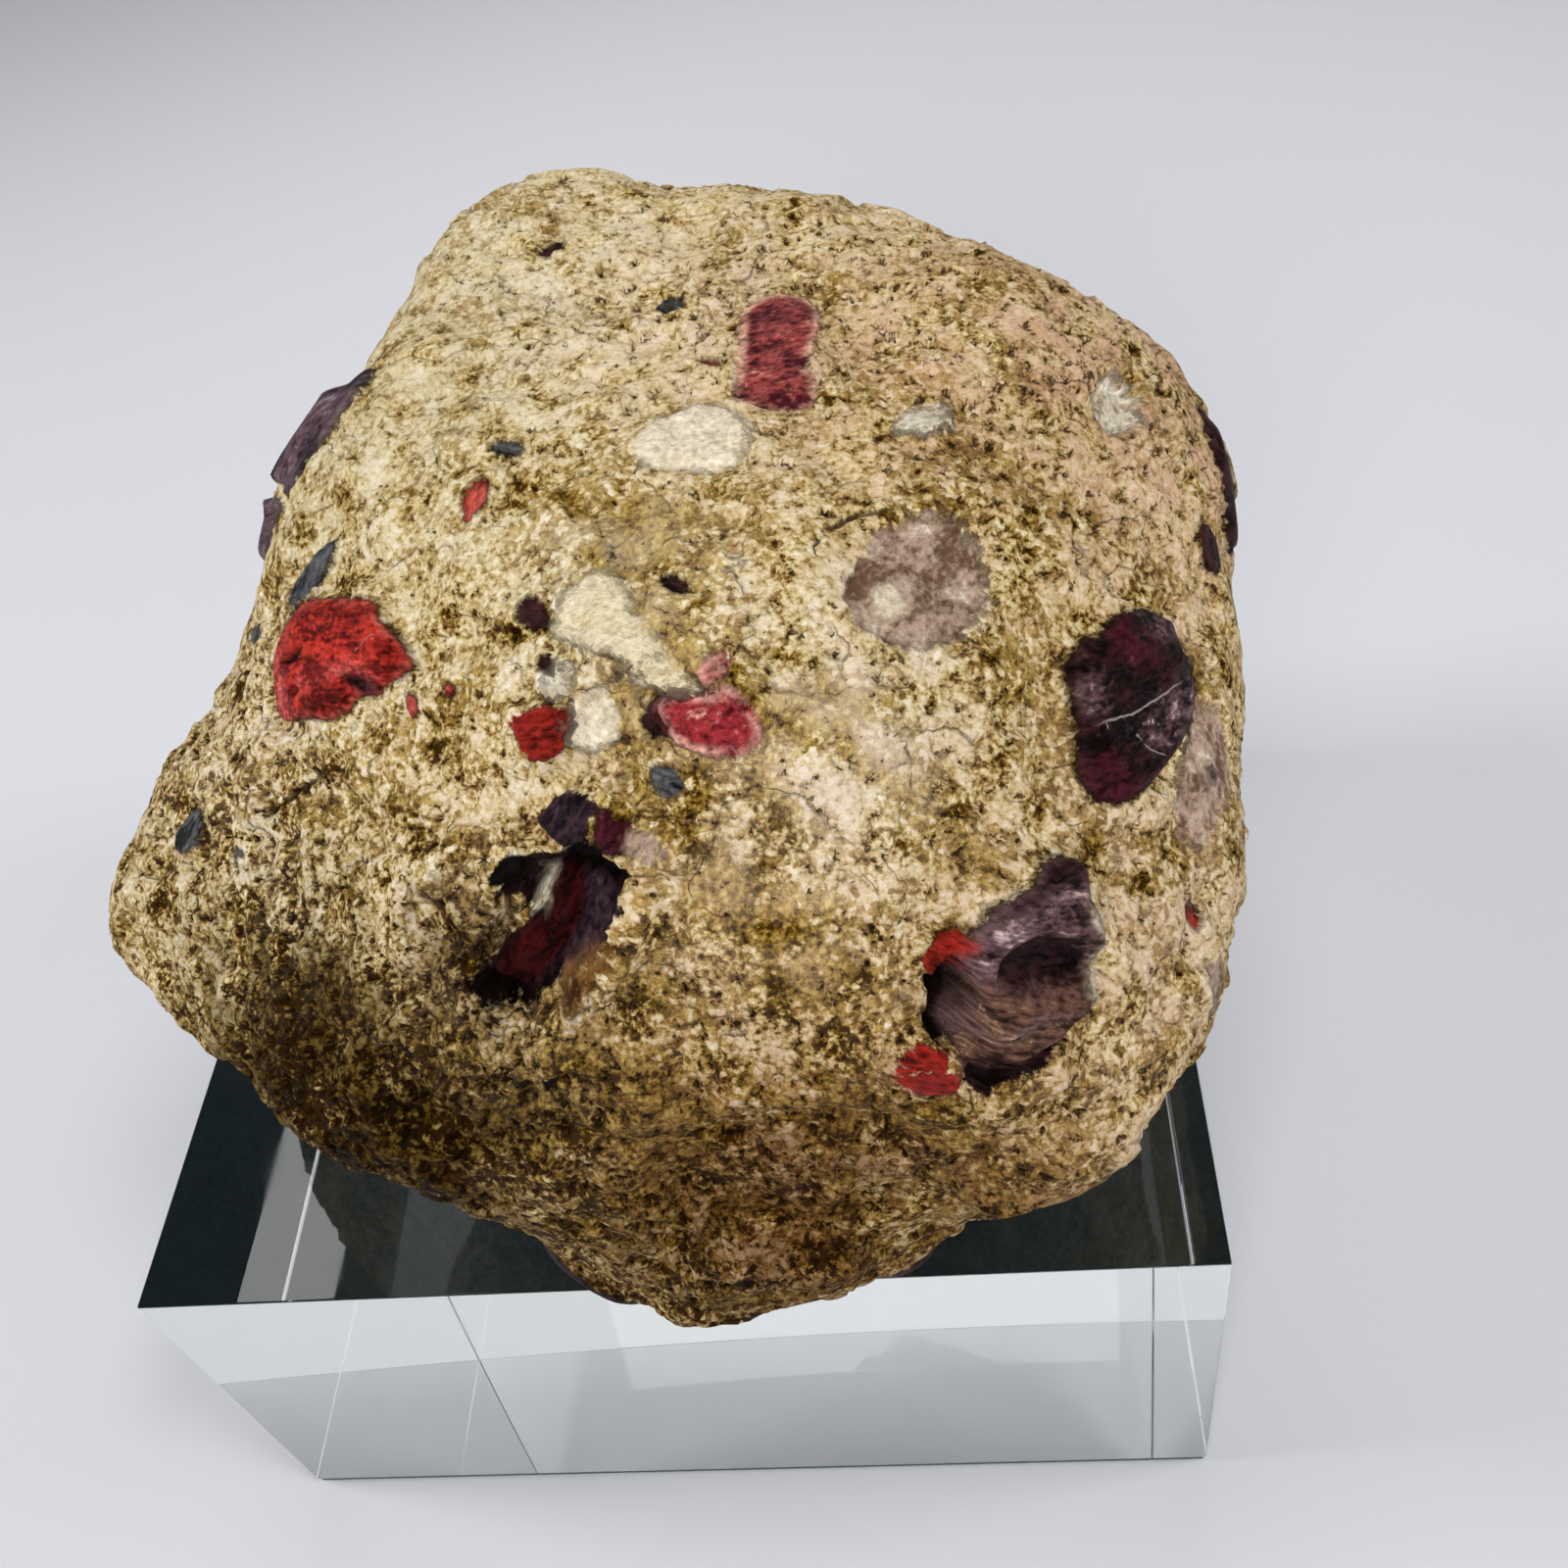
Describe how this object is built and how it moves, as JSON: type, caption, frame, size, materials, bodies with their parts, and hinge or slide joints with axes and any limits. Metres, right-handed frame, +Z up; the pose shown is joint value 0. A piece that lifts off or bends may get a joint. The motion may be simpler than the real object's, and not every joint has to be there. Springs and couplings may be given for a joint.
{
  "type": "puddingstone cobble on a clear display block",
  "caption": "Water-worn puddingstone cobble with red, maroon and quartz pebbles in a pale sandy matrix, resting on a clear acrylic display block.",
  "frame": {"origin": "centre of the black sheet's underside, where the stand rests on a table", "axes": "+Z up, -Y towards the viewer and the stand's near face, +X to the viewer's right"},
  "size_m": [0.1061, 0.1162, 0.12],
  "materials": {
    "conglomerate": "matte",
    "clear_acrylic": "polished",
    "black_vinyl": "satin"
  },
  "bodies": {
    "root": {"puddingstone": "conglomerate", "acrylic_block": "clear_acrylic", "black_sheet": "black_vinyl"}
  },
  "joints": []
}
